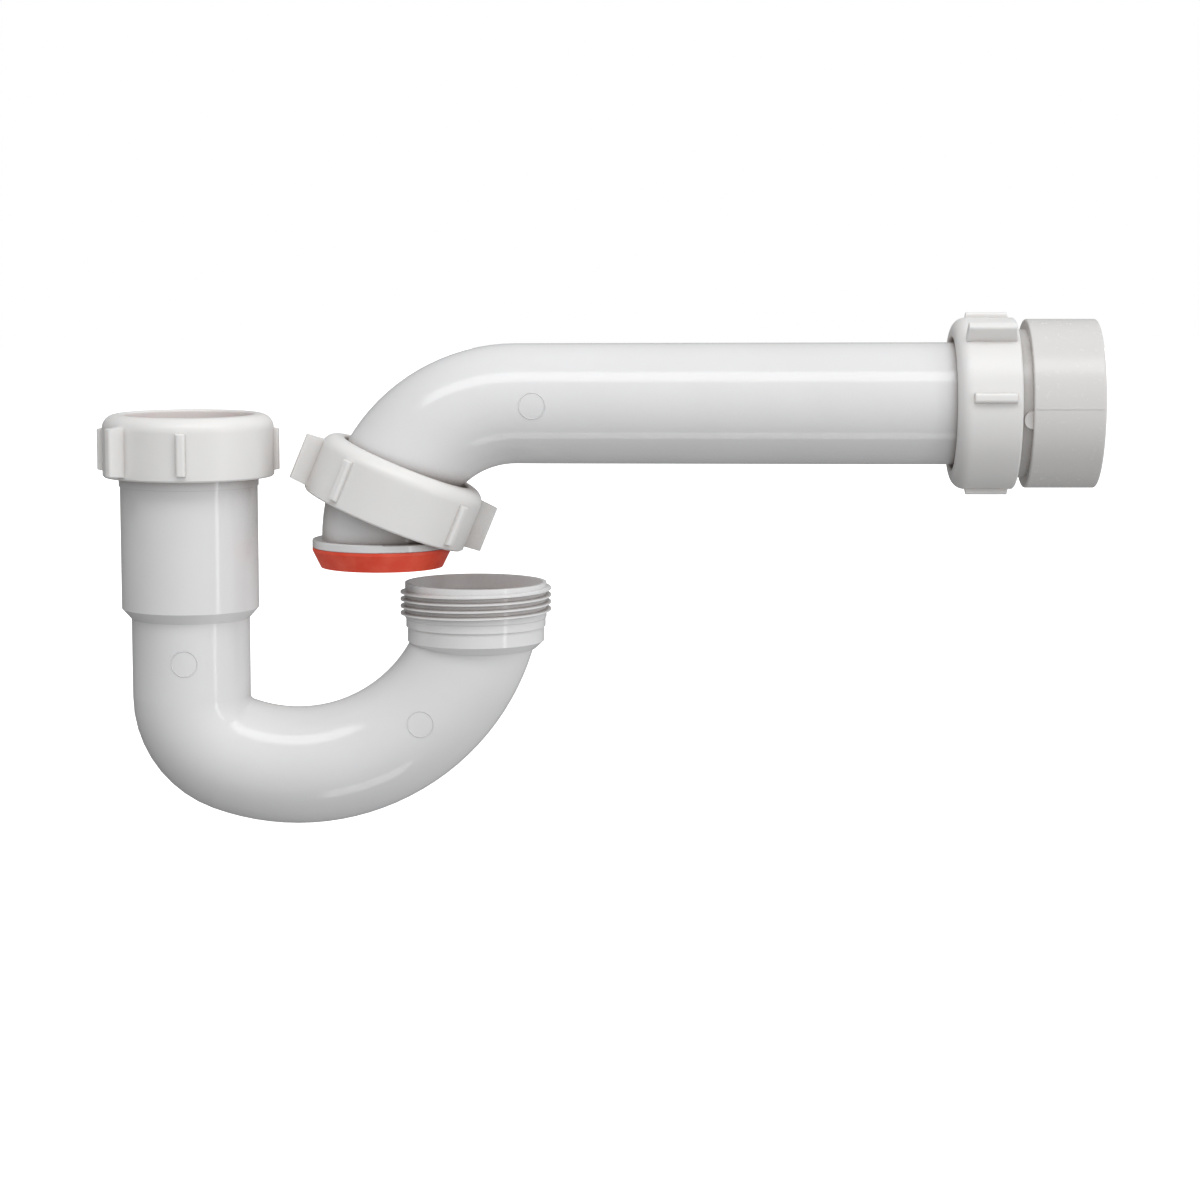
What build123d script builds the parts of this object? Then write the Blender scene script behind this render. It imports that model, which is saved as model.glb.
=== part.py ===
"""P trap for a basin or sink: a J-bend, a waste arm and a wall adapter, with their nuts and seals.

Frame: origin at the centre of the wall adapter's socket mouth. +X points into the wall pipe,
+Z is up, and the arm, the J-bend and the inlet all lie in the XZ plane. Millimetres.

The trap is modelled taken apart at its union: the J-bend hangs clear of the arm's flange, and
the union nut hangs loose and tilted on the arm's bend.
"""
from build123d import *
from math import acos, cos, degrees, radians, sin, sqrt
import os

# ---- driving dimensions ------------------------------------------------------------------
PIPE_OD = 38.1               # 1 1/2 in. tubular waste pipe
BEND_OD = 37.4               # the moulded arm is a little slimmer at its bend
TUBE_OD = 36.9               # the J-bend's own tube
WALL = 2.0
FIT_GAP = 0.3                # radial gap between pieces that slide or turn on each other

PITCH = 25.4 / 11.5          # slip-joint thread, 11 1/2 turns to the inch
THREAD_CREST_R = 23.65
THREAD_ROOT_R = 22.2
RIDGE_BASE = 1.45            # axial width of an outside thread ridge where it leaves the core
RIDGE_TIP = 0.5

NUT_H = 19.4
NUT_R = 26.65
NUT_SHOULDER = 4.8           # thickness of the nut's closed end
NUT_HOLE_R = 20.5
NUT_BORE_R = 24.05           # bottom of the inside thread
NUT_CREST_R = 22.55          # tip of the inside thread
NUT_RIDGE_BASE = 1.2
NUT_RIDGE_TIP = 0.3
NUT_THREAD_START = 2.3       # first inside ridge, above the mouth
NUT_THREAD_TURNS = 4.5
WING_TIP_R = 32.15
WING_THICK = 2.9
RIB_TIP_R = 28.35

RING_T = 1.0                 # slip ring under each nut shoulder
RING_GAP = 0.1
SEAL_H = 6.2
SEAT_DROP = 2.2              # how far a tightened rim stays below its flange or slip ring
SEAT_DEPTH = 4.6
SLIDE_R = PIPE_OD / 2 + 0.35  # seals and inlet socket, where a pipe slides through

FLANGE_X = -222.3            # vertical axis of the arm's flange
BEND_R = 42.15               # centreline radius of the arm's bend
FLANGE_T = 2.6
FLANGE_R = 21.7
ARM_END_X = -21.0            # plain end of the arm, inside the adapter

UNION_GAP = 11.1             # flange underside to the J-bend's rim, taken apart
RIM_OFFSET = 29.35           # sideways distance from the flange axis to the rim, taken apart
LEG_SPACING = 89.5           # J-bend centre to centre
ARC_R = 58.9                 # J-bend: large arc under the outlet
HEEL_R = 19.65               # J-bend: small arc under the inlet leg
INLET_ABOVE_RIM = 40.18      # top of the inlet socket above the outlet rim

UNION_TILT = 22.4            # how far the loose union nut leans
UNION_PIVOT = (-172.83, 0, -47.18)

SOCKET_R = 24.2              # adapter socket, for a 1 1/2 in. drain pipe of 48.3 mm
SOCKET_DEPTH = 18.0
HUB_R = 26.25
HUB_LEN = 22.1

WING_ANGLE = {"inlet_nut": 227.0, "union_nut": 189.0, "wall_nut": 52.0}

# ---- worked out from them ----------------------------------------------------------------
FLANGE_TOP_Z = -BEND_R
FLANGE_Z = FLANGE_TOP_Z - FLANGE_T
RIM = Vector(FLANGE_X + RIM_OFFSET, 0, FLANGE_Z - UNION_GAP)
LEG_X = RIM.X - LEG_SPACING
INLET_Z = RIM.Z + INLET_ABOVE_RIM
UNION_MOUTH_Z = FLANGE_TOP_Z + RING_T + 2 * RING_GAP + NUT_SHOULDER - NUT_H
CLOSE_TRAVEL = 2 * PITCH
INLET_RING_Z = INLET_Z + CLOSE_TRAVEL + SEAT_DROP
INLET_MOUTH_Z = INLET_RING_Z + RING_T + RING_GAP + NUT_SHOULDER - NUT_H
WALL_MOUTH = 25.4            # wall nut's mouth, measured back along -X from the socket mouth
WALL_RING = WALL_MOUTH + NUT_H - NUT_SHOULDER - RING_GAP - RING_T
WALL_RIM = WALL_RING - RING_GAP - SEAT_DROP


def revolved(points, plane=Plane.XZ):
    """Solid of revolution about the plane's y axis, from an outline of (radius, height) points."""
    with BuildPart() as solid:
        with BuildSketch(plane):
            with BuildLine():
                Polyline(*points, close=True)
            make_face()
        revolve(axis=Axis(plane.origin, plane.y_dir))
    return solid.part


def helical_ridge(start_r, end_r, base, tip, turns):
    """A right-hand thread ridge about Z: its root at start_r, its tip at end_r."""
    height = end_r - start_r
    sunk = -0.25 * height        # the root runs this far into the wall that carries it
    with BuildPart() as ridge:
        with BuildLine():
            path = Helix(PITCH, PITCH * turns, start_r)
        with BuildSketch(Plane(path @ 0, x_dir=(1, 0, 0), z_dir=path % 0)):
            Polygon((sunk, -base / 2), (height, -tip / 2), (height, tip / 2), (sunk, base / 2), align=None)
        sweep(is_frenet=True)
    return ridge.part


def outside_thread(first_ridge, turns, nut_mouth, wing_angle):
    """Outside thread starting at height first_ridge, turned so that it meshes with a nut.

    The nut's mouth is at height nut_mouth and its wings stand at wing_angle.
    """
    nut_ridge = nut_mouth + NUT_THREAD_START
    phase = wing_angle + 180 + 360 * (first_ridge - nut_ridge) / PITCH
    ridge = helical_ridge(THREAD_ROOT_R, THREAD_CREST_R, RIDGE_BASE, RIDGE_TIP, turns)
    return Pos(0, 0, first_ridge) * Rot(0, 0, phase) * ridge


def make_nut():
    """Slip-joint nut, mouth at z = 0 and shoulder up: two wings, four ribs, an inside thread."""
    with BuildPart() as nut:
        Cylinder(NUT_R, NUT_H, align=(Align.CENTER, Align.CENTER, Align.MIN))
        fillet(nut.edges().filter_by(GeomType.CIRCLE).sort_by(Axis.Z)[-1], 4.3)
        chamfer(nut.edges().filter_by(GeomType.CIRCLE).sort_by(Axis.Z)[0], 0.5)
        with Locations((0, 0, NUT_H)):
            Cylinder(NUT_HOLE_R, 2 * NUT_SHOULDER + 2, mode=Mode.SUBTRACT)
        fillet(nut.edges().filter_by(GeomType.CIRCLE).group_by(Axis.Z)[-1].sort_by(SortBy.RADIUS)[0], 0.8)
        with BuildSketch():
            Circle(NUT_BORE_R)
        extrude(amount=NUT_H - NUT_SHOULDER, mode=Mode.SUBTRACT)
        wing_bar(WING_TIP_R, 1.6, 16.1, (0, 180))
        wing_bar(RIB_TIP_R, 2.1, 14.7, (45, 135, 225, 315))
    ridge = helical_ridge(NUT_BORE_R, NUT_CREST_R, NUT_RIDGE_BASE, NUT_RIDGE_TIP, NUT_THREAD_TURNS)
    return nut.part + Pos(0, 0, NUT_THREAD_START) * ridge


def wing_bar(tip_r, low, high, angles):
    """Add bars that stand out of the nut's wall, a little longer at the root, to the current part."""
    root_r = NUT_R - 1.2
    with BuildPart(mode=Mode.PRIVATE) as bar:
        with BuildSketch(Plane.XZ):
            Polygon((root_r, low - 0.6), (tip_r, low), (tip_r, high), (root_r, high + 0.6), align=None)
        extrude(amount=WING_THICK / 2, both=True)
        fillet(bar.edges().filter_by(Axis.Z).group_by(Axis.X)[-1], 0.9)
    for angle in angles:
        add(bar.part, rotation=(0, 0, angle))


def make_slip_ring(inner_r, outer_r):
    """Flat washer with its underside at z = 0."""
    with BuildPart() as ring:
        with BuildSketch():
            Circle(outer_r)
            Circle(inner_r, mode=Mode.SUBTRACT)
        extrude(amount=RING_T)
    return ring.part


def make_seal(top_r, bottom_r, inner_r):
    """Tapered rubber ring hanging down from z = 0."""
    lip = 0.9
    return revolved([
        (inner_r, 0),
        (top_r, 0),
        (top_r, -lip),
        (bottom_r, -SEAL_H),
        (inner_r, -SEAL_H),
    ])


def seat_cut(mouth_r, floor_r):
    """The tapered seat inside a rim at z = 0, to be taken out of a threaded end."""
    return revolved([(0, 0.01), (mouth_r, 0.01), (floor_r, -SEAT_DEPTH), (0, -SEAT_DEPTH)])


# ---- wall adapter ------------------------------------------------------------------------
# Built standing on its socket mouth, then laid over so that its spigot points along -X.
to_wall = Plane(origin=(0, 0, 0), x_dir=(0, -1, 0), z_dir=(-1, 0, 0))

with BuildPart() as wall_adapter:
    Cylinder(HUB_R, HUB_LEN, align=(Align.CENTER, Align.CENTER, Align.MIN))
    fillet(wall_adapter.edges().filter_by(GeomType.CIRCLE), 0.6)
    with BuildSketch(Plane.XY.offset(HUB_LEN)):
        Circle(23.0)
    extrude(amount=3.0)
    with BuildSketch(Plane.XY.offset(HUB_LEN + 3.0)):
        Circle(THREAD_ROOT_R)
    extrude(amount=WALL_RIM - HUB_LEN - 3.0)
    with BuildSketch():
        Circle(SOCKET_R)
    extrude(amount=SOCKET_DEPTH, mode=Mode.SUBTRACT)
    with BuildSketch(Plane.XY.offset(SOCKET_DEPTH)):
        Circle(PIPE_OD / 2 + FIT_GAP)
    extrude(amount=WALL_RIM, mode=Mode.SUBTRACT)
    add(Pos(0, 0, WALL_RIM) * seat_cut(21.3, 20.25), mode=Mode.SUBTRACT)
    add(outside_thread(HUB_LEN + 4.4, 4.0, WALL_MOUTH, WING_ANGLE["wall_nut"]))
    # mould parting ridges along the hub, and the trimmed gate in the groove behind the nut
    for side in (0, 180):
        with Locations(Location((0, 0, HUB_LEN / 2), (0, 0, side))):
            with Locations((HUB_R, 0, 0)):
                Box(0.3, 0.4, HUB_LEN - 1.4)
    with BuildSketch(Plane(origin=(21.0, -3.6, HUB_LEN), x_dir=(0, 1, 0), z_dir=(1, 0, 0))):
        Circle(2.7)
    extrude(amount=3.2)
wall_adapter.part = to_wall.location * wall_adapter.part

nut = make_nut()


def placed_nut(location, name):
    """A copy of the nut, its wings turned to their angle about its own axis."""
    return location * Rot(0, 0, WING_ANGLE[name]) * nut


with BuildPart() as wall_nut:
    add(placed_nut(to_wall.location * Pos(0, 0, WALL_MOUTH), "wall_nut"))

with BuildPart() as wall_slip_ring:
    add(to_wall.location * Pos(0, 0, WALL_RING) * make_slip_ring(PIPE_OD / 2 + 0.5, 22.0))

with BuildPart() as wall_seal:
    add(to_wall.location * Pos(0, 0, WALL_RING - RING_GAP) * make_seal(21.6, 20.0, SLIDE_R))

# ---- waste arm ---------------------------------------------------------------------------
bend_end_x = FLANGE_X + BEND_R
NOSE_R = 18.0
NOSE_LEN = 5.4

with BuildPart() as outlet_arm:
    # straight run, tapering from the pipe size to the bend size
    with BuildSketch(Plane.YZ.offset(bend_end_x)):
        Circle(BEND_OD / 2)
    with BuildSketch(Plane.YZ.offset(ARM_END_X)):
        Circle(PIPE_OD / 2)
    loft()
    with BuildLine(Plane.XZ) as bend_path:
        CenterArc((bend_end_x, -BEND_R), BEND_R, 90, 90)
    with BuildSketch(Plane.YZ.offset(bend_end_x)):
        Circle(BEND_OD / 2)
    sweep(path=bend_path)
    with BuildSketch(Plane.XY.offset(FLANGE_Z)):
        with Locations((FLANGE_X, 0)):
            Circle(FLANGE_R)
    extrude(amount=FLANGE_T)
    rims = outlet_arm.edges().filter_by(GeomType.CIRCLE)
    fillet(rims.filter_by(lambda edge: abs(edge.radius - FLANGE_R) < 0.01), 0.4)
    with BuildSketch(Plane.XY.offset(FLANGE_Z)):
        with Locations((FLANGE_X, 0)):
            Circle(NOSE_R)
    extrude(amount=-NOSE_LEN)
    # waterway
    bore_r = BEND_OD / 2 - WALL
    with BuildSketch(Plane.YZ.offset(bend_end_x)):
        Circle(bore_r)
    extrude(amount=ARM_END_X - bend_end_x, mode=Mode.SUBTRACT)
    with BuildSketch(Plane.YZ.offset(bend_end_x)):
        Circle(bore_r)
    sweep(path=bend_path, mode=Mode.SUBTRACT)
    with BuildSketch(Plane.XY.offset(FLANGE_TOP_Z)):
        with Locations((FLANGE_X, 0)):
            Circle(bore_r)
    extrude(amount=-(FLANGE_T + NOSE_LEN), mode=Mode.SUBTRACT)

# ---- union: nut, slip ring and cone seal -------------------------------------------------
pivot = Pos(*UNION_PIVOT)
lean = pivot * Rot(0, UNION_TILT, 0) * Pos(*(-value for value in UNION_PIVOT))

with BuildPart() as union_nut:
    add(placed_nut(lean * Pos(FLANGE_X, 0, UNION_MOUTH_Z), "union_nut"))

with BuildPart() as union_slip_ring:
    add(lean * Pos(FLANGE_X, 0, FLANGE_TOP_Z + RING_GAP) * make_slip_ring(NUT_HOLE_R, 22.2))

with BuildPart() as union_seal:
    add(Pos(FLANGE_X, 0, FLANGE_Z) * make_seal(FLANGE_R, 19.1, NOSE_R + FIT_GAP))

# ---- J-bend ------------------------------------------------------------------------------
COLLAR_R = 21.45
COLLAR_LEN = 18.4
NECK_R = 21.9
NECK_LEN = 13.8
LEG_SOCKET_R = 21.4
INLET_RING_R = 21.75
CONE_TOP_Z = RIM.Z - 8.0
CONE_LEN = 3.3
arc_centre = Vector(RIM.X - 56.25, 0, RIM.Z + 0.7)
heel_turn = degrees(acos((arc_centre.X - LEG_X - HEEL_R) / (ARC_R - HEEL_R)))
heel_z = arc_centre.Z - (ARC_R - HEEL_R) * sin(radians(heel_turn))
TUBE_END = -12               # where the large arc stops, inside the collar


def at_rim():
    """The frame at the centre of the outlet rim."""
    return Pos(RIM.X, 0, RIM.Z)


def at_inlet():
    """The frame at the centre of the inlet's top."""
    return Pos(LEG_X, 0, INLET_Z)


# The two threaded ends, each built about its own rim at z = 0.
union_nut_mouth = UNION_MOUTH_Z - FLANGE_Z + SEAT_DROP
outlet_end = revolved([
    (0, 0),
    (THREAD_ROOT_R, 0),
    (THREAD_ROOT_R, -11.0),
    (NECK_R, -11.4),
    (NECK_R, -NECK_LEN),
    (COLLAR_R, -NECK_LEN),
    (COLLAR_R, -COLLAR_LEN),
    (COLLAR_R - 2.6, -COLLAR_LEN - 2.4),
    (0, -COLLAR_LEN - 2.4),
]) + outside_thread(-10.4, 4.0, union_nut_mouth, WING_ANGLE["union_nut"])

inlet_nut_mouth = INLET_MOUTH_Z - INLET_Z
inlet_end = revolved([
    (0, 0),
    (THREAD_ROOT_R, 0),
    (THREAD_ROOT_R, -6.9),
    (INLET_RING_R, -6.9),
    (INLET_RING_R, -9.8),
    (LEG_SOCKET_R, -9.8),
    (LEG_SOCKET_R, CONE_TOP_Z - INLET_Z),
    (TUBE_OD / 2, CONE_TOP_Z - CONE_LEN - INLET_Z),
    (0, CONE_TOP_Z - CONE_LEN - INLET_Z),
]) + outside_thread(-5.9, 2.0, inlet_nut_mouth, WING_ANGLE["inlet_nut"])

with BuildPart() as trap_bend:
    add(at_rim() * outlet_end)
    add(at_inlet() * inlet_end)
    with BuildLine(Plane.XZ) as tube_path:
        CenterArc((LEG_X + HEEL_R, heel_z), HEEL_R, 180, heel_turn)
        CenterArc((arc_centre.X, arc_centre.Z), ARC_R, 180 + heel_turn, 180 - heel_turn + TUBE_END)
    with BuildSketch(Plane.XY.offset(heel_z)):
        with Locations((LEG_X, 0)):
            Circle(TUBE_OD / 2)
    sweep(path=tube_path)
    with BuildSketch(Plane.XY.offset(heel_z)):
        with Locations((LEG_X, 0)):
            Circle(TUBE_OD / 2)
    extrude(amount=CONE_TOP_Z - heel_z)
    # waterway
    with BuildSketch(Plane.XY.offset(heel_z)):
        with Locations((LEG_X, 0)):
            Circle(TUBE_OD / 2 - WALL)
    sweep(path=tube_path, mode=Mode.SUBTRACT)
    with BuildSketch(Plane.XY.offset(heel_z)):
        with Locations((LEG_X, 0)):
            Circle(TUBE_OD / 2 - WALL)
    extrude(amount=INLET_Z - heel_z, mode=Mode.SUBTRACT)
    with BuildSketch(Plane.XY.offset(CONE_TOP_Z)):
        with Locations((LEG_X, 0)):
            Circle(SLIDE_R)
    extrude(amount=INLET_Z - CONE_TOP_Z, mode=Mode.SUBTRACT)
    with BuildSketch(Plane.XY.offset(RIM.Z)):
        with Locations((RIM.X, 0)):
            Circle(18.6)
    extrude(amount=-14.0, mode=Mode.SUBTRACT)
    add(at_inlet() * seat_cut(21.3, 20.25), mode=Mode.SUBTRACT)
    add(at_rim() * seat_cut(21.1, 19.15), mode=Mode.SUBTRACT)

# ---- inlet: nut, slip ring and tapered seal ----------------------------------------------
with BuildPart() as inlet_nut:
    add(placed_nut(Pos(LEG_X, 0, INLET_MOUTH_Z), "inlet_nut"))

with BuildPart() as inlet_slip_ring:
    add(Pos(LEG_X, 0, INLET_RING_Z) * make_slip_ring(PIPE_OD / 2 + 0.5, 22.0))

with BuildPart() as inlet_seal:
    add(Pos(LEG_X, 0, INLET_RING_Z) * make_seal(21.6, 20.0, SLIDE_R))

# ---- export ------------------------------------------------------------------------------
os.makedirs("parts", exist_ok=True)
nodes = {
    "wall_adapter": wall_adapter,
    "wall_nut": wall_nut,
    "wall_slip_ring": wall_slip_ring,
    "wall_seal": wall_seal,
    "outlet_arm": outlet_arm,
    "union_nut": union_nut,
    "union_slip_ring": union_slip_ring,
    "union_seal": union_seal,
    "trap_bend": trap_bend,
    "inlet_nut": inlet_nut,
    "inlet_slip_ring": inlet_slip_ring,
    "inlet_seal": inlet_seal,
}
for label, builder in nodes.items():
    builder.part.label = label
    export_step(builder.part, f"parts/{label}.step")
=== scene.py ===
"""Looks of the P trap: moulded white plastic, red rubber seals, soft studio light.

Everything is in metres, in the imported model's own frame: origin at the centre of the wall adapter's
socket mouth, +X into the wall pipe, +Z up. The camera stands in front, at -Y.
"""

import math

import bpy
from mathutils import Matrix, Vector


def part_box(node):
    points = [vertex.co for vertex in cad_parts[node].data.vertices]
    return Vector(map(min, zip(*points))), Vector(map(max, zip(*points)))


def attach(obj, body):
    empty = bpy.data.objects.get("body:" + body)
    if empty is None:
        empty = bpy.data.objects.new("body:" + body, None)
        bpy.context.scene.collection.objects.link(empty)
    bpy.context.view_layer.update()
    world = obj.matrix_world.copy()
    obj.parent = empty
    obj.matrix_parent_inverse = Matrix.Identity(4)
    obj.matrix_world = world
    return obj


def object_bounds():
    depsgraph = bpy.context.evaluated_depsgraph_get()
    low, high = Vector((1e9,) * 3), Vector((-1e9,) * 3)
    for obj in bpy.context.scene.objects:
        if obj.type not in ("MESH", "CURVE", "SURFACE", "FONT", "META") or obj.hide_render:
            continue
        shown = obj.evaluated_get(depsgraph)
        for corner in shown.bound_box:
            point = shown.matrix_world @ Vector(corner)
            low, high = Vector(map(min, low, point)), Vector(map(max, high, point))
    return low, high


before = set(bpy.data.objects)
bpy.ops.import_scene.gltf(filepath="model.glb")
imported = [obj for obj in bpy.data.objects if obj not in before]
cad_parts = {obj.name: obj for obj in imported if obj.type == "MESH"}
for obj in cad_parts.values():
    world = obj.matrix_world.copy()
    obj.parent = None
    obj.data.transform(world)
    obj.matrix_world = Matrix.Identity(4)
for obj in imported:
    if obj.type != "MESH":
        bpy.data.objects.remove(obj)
cad_low, cad_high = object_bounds()

MM = 0.001


# ---- camera ------------------------------------------------------------------------------
CAMERA_PITCH = math.radians(7.1)      # looks down on the trap
CAMERA_DISTANCE = 1.020
FOCAL_LENGTH = 97.5                   # on a 36 mm sensor
FRAME_CENTRE = Vector((-0.1540, 0, -0.0617))    # what the camera aims at


def make_camera():
    data = bpy.data.cameras.new("camera")
    data.lens = FOCAL_LENGTH
    data.sensor_width = 36
    data.clip_end = 20
    camera = bpy.data.objects.new("camera", data)
    back = Vector((0, -math.cos(CAMERA_PITCH), math.sin(CAMERA_PITCH)))
    camera.location = FRAME_CENTRE + CAMERA_DISTANCE * back
    camera.rotation_euler = (math.pi / 2 - CAMERA_PITCH, 0, 0)
    bpy.context.collection.objects.link(camera)
    bpy.context.scene.camera = camera


# ---- shader helpers ----------------------------------------------------------------------
# Noise scales, in cells per metre.
COLOUR_DRIFT = 28
SKIN_WAVES = 45
SCUFFS = 420
SKIN_GRAIN = 1600
RUBBER_BLOOM = 160
RUBBER_WAVES = 240
RUBBER_SHEEN = 700
RUBBER_GRAIN = 2600
FLOOR_DRIFT = 2

# Painted shade in recesses: how closed in a point is decides how far its colour turns to the recess
# shade.
RECESS_REACH = 30 * MM           # how far the shader looks for surfaces that close a point in
RECESS_OPENNESS = (0.28, 0.74)   # recess colour up to the first, the plastic's own from the second


def new_material(name):
    """A material whose node tree holds one Principled shader and the output."""
    material = bpy.data.materials.new(name)
    material.use_nodes = True
    tree = material.node_tree
    tree.nodes.clear()
    shader = tree.nodes.new("ShaderNodeBsdfPrincipled")
    output = tree.nodes.new("ShaderNodeOutputMaterial")
    tree.links.new(shader.outputs["BSDF"], output.inputs["Surface"])
    return material, tree, shader


def noise(tree, scale, detail=3.0, roughness=0.5):
    """Noise in the object's own coordinates, which are metres."""
    coordinates = tree.nodes.new("ShaderNodeTexCoord")
    texture = tree.nodes.new("ShaderNodeTexNoise")
    texture.inputs["Scale"].default_value = scale
    texture.inputs["Detail"].default_value = detail
    texture.inputs["Roughness"].default_value = roughness
    tree.links.new(coordinates.outputs["Object"], texture.inputs["Vector"])
    return texture.outputs["Fac"]


def spread(tree, value, source, target):
    """Map value from the source range to the target range, clamped."""
    node = tree.nodes.new("ShaderNodeMapRange")
    node.inputs["From Min"].default_value = source[0]
    node.inputs["From Max"].default_value = source[1]
    node.inputs["To Min"].default_value = target[0]
    node.inputs["To Max"].default_value = target[1]
    tree.links.new(value, node.inputs["Value"])
    return node.outputs["Result"]


def mixed_colour(tree, factor, first, second):
    """Blend from first to second by factor. Each is an (r, g, b) or another node's output."""
    node = tree.nodes.new("ShaderNodeMix")
    node.data_type = "RGBA"
    for side, colour in (("A", first), ("B", second)):
        if isinstance(colour, tuple):
            node.inputs[side].default_value = (*colour, 1)
        else:
            tree.links.new(colour, node.inputs[side])
    tree.links.new(factor, node.inputs["Factor"])
    return node.outputs["Result"]


def shaded_recesses(tree, colour, recess_shade):
    """Painted shade: deep inside a pipe or a thread groove, where little light reaches, the colour turns
    darker and browner towards the recess shade.
    """
    occlusion = tree.nodes.new("ShaderNodeAmbientOcclusion")
    occlusion.inputs["Distance"].default_value = RECESS_REACH
    occlusion.samples = 4
    openness = spread(tree, occlusion.outputs["AO"], RECESS_OPENNESS, (0, 1))
    return mixed_colour(tree, openness, recess_shade, colour)


def bumped(tree, shader, layers):
    """Stack bump layers, each (height socket, distance in metres, strength)."""
    previous = None
    for height, distance, strength in layers:
        node = tree.nodes.new("ShaderNodeBump")
        node.inputs["Distance"].default_value = distance
        node.inputs["Strength"].default_value = strength
        tree.links.new(height, node.inputs["Height"])
        if previous is not None:
            tree.links.new(previous, node.inputs["Normal"])
        previous = node.outputs["Normal"]
    tree.links.new(previous, shader.inputs["Normal"])


# ---- materials ---------------------------------------------------------------------------
PLASTIC_IOR = 1.49


def moulded_plastic(name, light, dark, recess_shade, gloss, grain, translucency):
    """White plastic: soft colour drift, slightly wavy skin, fine grain and faint scuffs.

    The colour drifts between light and dark and turns to a painted recess shade where the part closes in
    on itself.
    gloss is the range of the roughness, grain the strength of the finest bumps, and translucency the
    share of subsurface light.
    """
    material, tree, shader = new_material(name)
    drift = spread(tree, noise(tree, COLOUR_DRIFT), (0.35, 0.65), (0, 1))
    base_tone = mixed_colour(tree, drift, light, dark)
    tree.links.new(shaded_recesses(tree, base_tone, recess_shade), shader.inputs["Base Color"])
    scuffs = noise(tree, SCUFFS, detail=6, roughness=0.7)
    tree.links.new(spread(tree, scuffs, (0.35, 0.72), gloss), shader.inputs["Roughness"])
    bumped(tree, shader, [
        (noise(tree, SKIN_WAVES, detail=1), 0.6 * MM, 0.10),
        (noise(tree, SKIN_GRAIN, detail=2), 0.04 * MM, grain),
    ])
    shader.inputs["IOR"].default_value = PLASTIC_IOR
    shader.inputs["Subsurface Weight"].default_value = translucency
    shader.inputs["Subsurface Radius"].default_value = (1.0, 0.85, 0.75)
    shader.inputs["Subsurface Scale"].default_value = 2.5 * MM
    return material


def seal_rubber():
    """Orange-red moulded rubber with a dusty bloom and a finely uneven skin."""
    material, tree, shader = new_material("seal_red")
    base_tone = (0.86, 0.070, 0.030)
    dusty = (0.92, 0.115, 0.060)
    bloom = spread(tree, noise(tree, RUBBER_BLOOM, detail=5), (0.4, 0.7), (0, 1))
    tree.links.new(mixed_colour(tree, bloom, base_tone, dusty), shader.inputs["Base Color"])
    sheen = spread(tree, noise(tree, RUBBER_SHEEN), (0.3, 0.7), (0.42, 0.6))
    tree.links.new(sheen, shader.inputs["Roughness"])
    bumped(tree, shader, [
        (noise(tree, RUBBER_WAVES, detail=3), 0.2 * MM, 0.15),
        (noise(tree, RUBBER_GRAIN, detail=2), 0.05 * MM, 0.25),
    ])
    shader.inputs["Subsurface Weight"].default_value = 0.15
    shader.inputs["Subsurface Radius"].default_value = (1.0, 0.3, 0.2)
    shader.inputs["Subsurface Scale"].default_value = 1.5 * MM
    return material


# Each recess colour below is the painted shade deep in pipes and thread grooves.
tube_white = moulded_plastic(
    "tube_white",
    light=(0.81, 0.81, 0.815),
    dark=(0.785, 0.783, 0.785),
    recess_shade=(0.37, 0.33, 0.31),
    gloss=(0.11, 0.18),
    grain=0.04,
    translucency=0.12,
)
nut_white = moulded_plastic(
    "nut_white",
    light=(0.84, 0.835, 0.825),
    dark=(0.815, 0.81, 0.80),
    recess_shade=(0.52, 0.47, 0.44),
    gloss=(0.30, 0.38),
    grain=0.12,
    translucency=0.35,
)
adapter_white = moulded_plastic(
    "adapter_white",
    light=(0.71, 0.70, 0.69),
    dark=(0.70, 0.69, 0.68),
    recess_shade=(0.60, 0.58, 0.56),
    gloss=(0.26, 0.28),
    grain=0.03,
    translucency=0.12,
)
slip_ring = moulded_plastic(
    "slip_ring",
    light=(0.80, 0.79, 0.75),
    dark=(0.77, 0.76, 0.71),
    recess_shade=(0.50, 0.46, 0.42),
    gloss=(0.32, 0.42),
    grain=0.12,
    translucency=0.40,
)
seal_red = seal_rubber()

MATERIAL_OF = {
    "outlet_arm": tube_white,
    "trap_bend": tube_white,
    "inlet_nut": nut_white,
    "union_nut": nut_white,
    "wall_nut": nut_white,
    "wall_adapter": adapter_white,
    "inlet_slip_ring": slip_ring,
    "union_slip_ring": slip_ring,
    "wall_slip_ring": slip_ring,
    "inlet_seal": seal_red,
    "union_seal": seal_red,
    "wall_seal": seal_red,
}


def paint_nodes():
    """Give every CAD node its material; its mesh and place stay as packed."""
    for node, material in MATERIAL_OF.items():
        node_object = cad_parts[node]
        for material_slot in node_object.material_slots:
            material_slot.material = material


# ---- witness marks -----------------------------------------------------------------------
MARK_RADIUS = 4.0 * MM
RIDGE_RADIUS = 0.17 * MM     # of the fine round ridge that outlines each mark
ARM_RADIUS = 18.71 * MM      # the arm's tube where its mark is
TRAP_RADIUS = 18.45 * MM     # the J-bend's tube
ARC_RADIUS = 58.9 * MM       # centreline of the J-bend's long arc
LEG_TO_ARC = 33.25 * MM      # sideways, from the inlet leg to the arc's centre

seal_low, seal_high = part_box("inlet_seal")
trap_low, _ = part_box("trap_bend")
LEG_X = (seal_low.x + seal_high.x) / 2
ARC_X = LEG_X + LEG_TO_ARC
ARC_Z = trap_low.z + TRAP_RADIUS + ARC_RADIUS


# Each front_of function gives the y of a tube's front surface at (x, z).
def front_of_arm(x, z):
    return -math.sqrt(ARM_RADIUS ** 2 - z ** 2)


def front_of_leg(x, z):
    return -math.sqrt(TRAP_RADIUS ** 2 - (x - LEG_X) ** 2)


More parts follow.
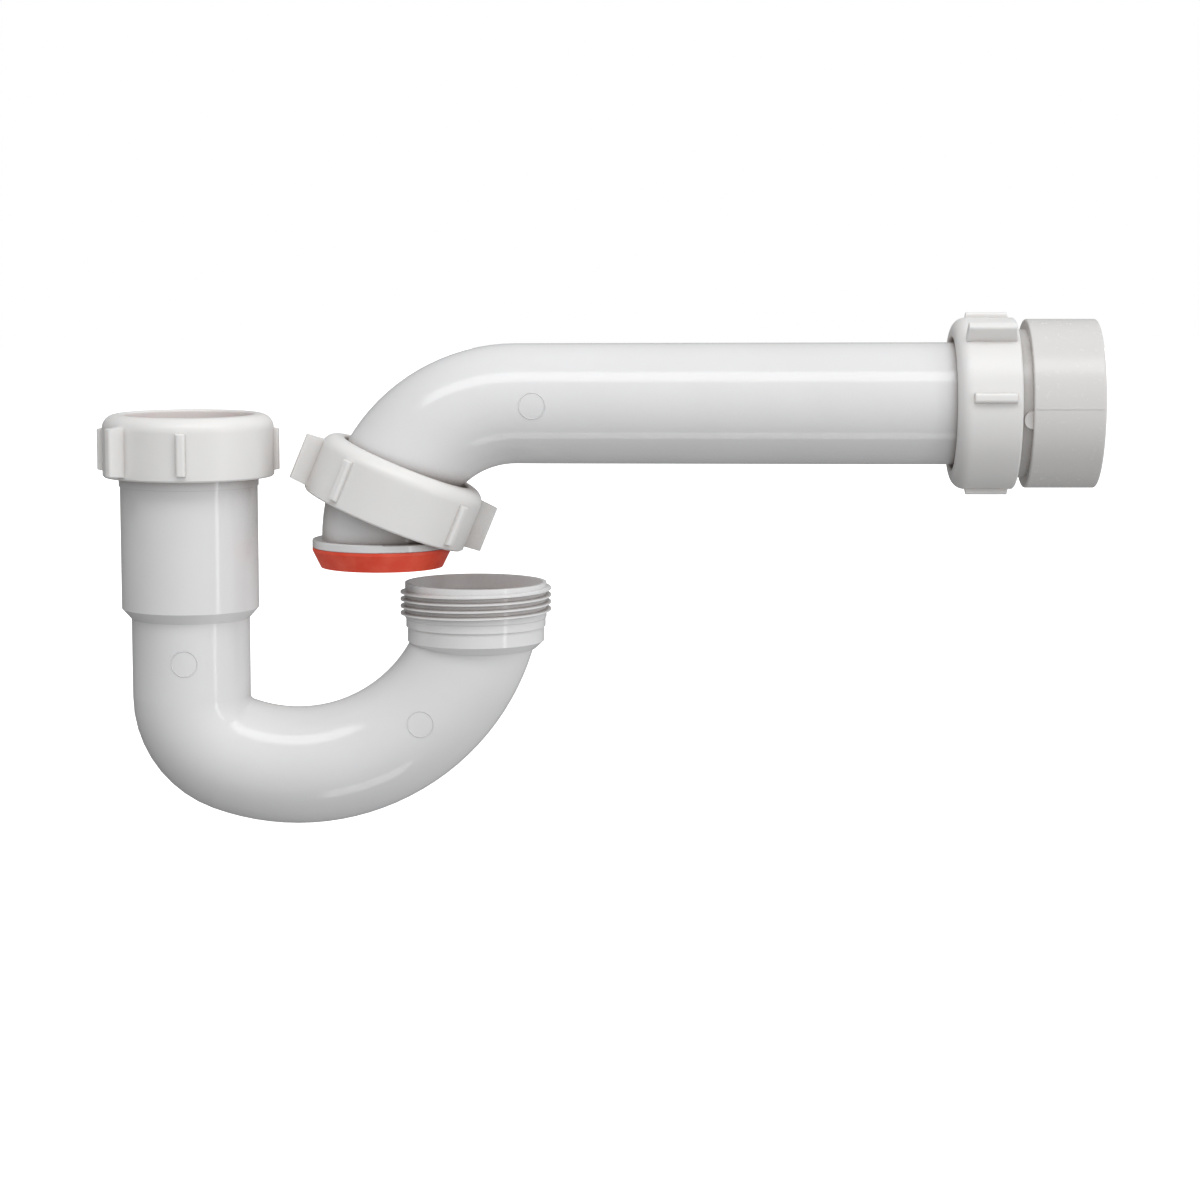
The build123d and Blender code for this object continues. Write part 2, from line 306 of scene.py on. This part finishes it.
def front_of_arc(x, z):
    off_centreline = math.hypot(x - ARC_X, z - ARC_Z) - ARC_RADIUS
    return -math.sqrt(TRAP_RADIUS ** 2 - off_centreline ** 2)


def witness_mark(name, body, centre, front):
    """The round outline of a mould insert: a fine closed ridge that follows the tube's surface.

    centre is (x, z), and front gives the surface's y there.
    """
    around, across = 96, 10
    path = []
    for step in range(around):
        angle = 2 * math.pi * step / around
        x = centre[0] + MARK_RADIUS * math.cos(angle)
        z = centre[1] + MARK_RADIUS * math.sin(angle)
        path.append(Vector((x, front(x, z), z)))
    vertices = []
    for step, point in enumerate(path):
        along = (path[(step + 1) % around] - path[step - 1]).normalized()
        outward = along.cross(Vector((0, 1, 0))).normalized()
        lifted = outward.cross(along)
        for corner in range(across):
            turn = 2 * math.pi * corner / across
            offset = math.cos(turn) * outward + math.sin(turn) * lifted
            vertices.append(point + RIDGE_RADIUS * offset)
    faces = []
    for step in range(around):
        here, following = step * across, (step + 1) % around * across
        for corner in range(across):
            beside = (corner + 1) % across
            faces.append((here + corner, here + beside, following + beside, following + corner))
    mesh = bpy.data.meshes.new(name)
    mesh.from_pydata(vertices, [], faces)
    mesh.polygons.foreach_set("use_smooth", [True] * len(faces))
    mesh.materials.append(tube_white)
    mark = bpy.data.objects.new(name, mesh)
    bpy.context.collection.objects.link(mark)
    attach(mark, body)


def make_marks():
    witness_mark("arm_mark", "outlet_arm", (-0.1749, 0.0004), front_of_arm)
    witness_mark("leg_mark", "trap_bend", (LEG_X, -0.0794), front_of_leg)
    witness_mark("arc_mark", "trap_bend", (-0.2096, -0.0982), front_of_arc)


# ---- studio ------------------------------------------------------------------------------
ROOM_LEAN = (0.22, -0.14, 0.14)    # towards the room's brighter side: right, front and above
ROOM_REACH = 0.28                  # a direction's dot product with the lean where it is brightest
ROOM_STRENGTH = (0.16, 0.84)       # darkest and brightest
FLOOR_SIZE = 30
FLOOR_DROP = 0.55                  # below the trap's lowest point


def softbox(name, target, direction, distance, size, radiance):
    """An area light at distance along direction from target, facing it. size is (width, height)."""
    data = bpy.data.lights.new(name, "AREA")
    data.shape = "RECTANGLE"
    data.size, data.size_y = size
    data.energy = radiance * math.pi * size[0] * size[1]
    light = bpy.data.objects.new(name, data)
    towards = Vector(direction).normalized()
    light.location = Vector(target) + distance * towards
    light.rotation_euler = towards.to_track_quat("Z", "Y").to_euler()
    bpy.context.collection.objects.link(light)


def elevated(elevation, azimuth=0):
    """Unit vector from the object: azimuth from the front towards the right, then up. Degrees."""
    up, side = math.radians(elevation), math.radians(azimuth)
    return (math.cos(up) * math.sin(side), -math.cos(up) * math.cos(side), math.sin(up))


def make_world():
    """Soft room light, darker to the left and below; the camera sees plain white behind it."""
    world = bpy.data.worlds.new("studio")
    world.use_nodes = True
    tree = world.node_tree
    background = tree.nodes["Background"]
    coordinates = tree.nodes.new("ShaderNodeTexCoord")
    lean = tree.nodes.new("ShaderNodeVectorMath")
    lean.operation = "DOT_PRODUCT"
    lean.inputs[1].default_value = ROOM_LEAN
    tree.links.new(coordinates.outputs["Generated"], lean.inputs[0])
    room = spread(tree, lean.outputs["Value"], (-ROOM_REACH, ROOM_REACH), ROOM_STRENGTH)
    ray = tree.nodes.new("ShaderNodeLightPath")
    level = tree.nodes.new("ShaderNodeMix")
    level.inputs["B"].default_value = 1.0
    tree.links.new(ray.outputs["Is Camera Ray"], level.inputs["Factor"])
    tree.links.new(room, level.inputs["A"])
    tree.links.new(level.outputs["Result"], background.inputs["Strength"])
    background.inputs["Color"].default_value = (1, 1, 1, 1)
    bpy.context.scene.world = world


def make_floor(centre):
    """A plain pale floor far below, which glows so evenly that it runs into the background."""
    material, tree, shader = new_material("floor_pale")
    pale = mixed_colour(tree, noise(tree, FLOOR_DRIFT), (0.90, 0.90, 0.90), (0.92, 0.92, 0.92))
    tree.links.new(pale, shader.inputs["Base Color"])
    shader.inputs["Roughness"].default_value = 0.9
    shader.inputs["Emission Color"].default_value = (1, 1, 1, 1)
    shader.inputs["Emission Strength"].default_value = 1.0
    place = (centre.x, centre.y, cad_low.z - FLOOR_DROP)
    bpy.ops.mesh.primitive_plane_add(size=FLOOR_SIZE, location=place)
    floor = bpy.context.object
    floor.name = "floor"
    floor.data.materials.append(material)
    floor.visible_diffuse = False
    floor.visible_glossy = False


def make_studio():
    centre = (cad_low + cad_high) / 2
    right_of_centre = centre + Vector((0.06, 0, 0))
    softbox("key_above", centre, elevated(57), distance=1.0, size=(1.3, 0.34), radiance=3.2)
    softbox("strip_below", right_of_centre, elevated(-58), distance=0.8, size=(0.28, 0.20), radiance=3.4)
    softbox("strip_right", centre, elevated(5, 50), distance=1.2, size=(0.10, 0.7), radiance=4.5)
    make_world()
    make_floor(centre)
    bpy.context.scene.view_settings.view_transform = "Standard"


make_camera()
paint_nodes()
make_marks()
make_studio()
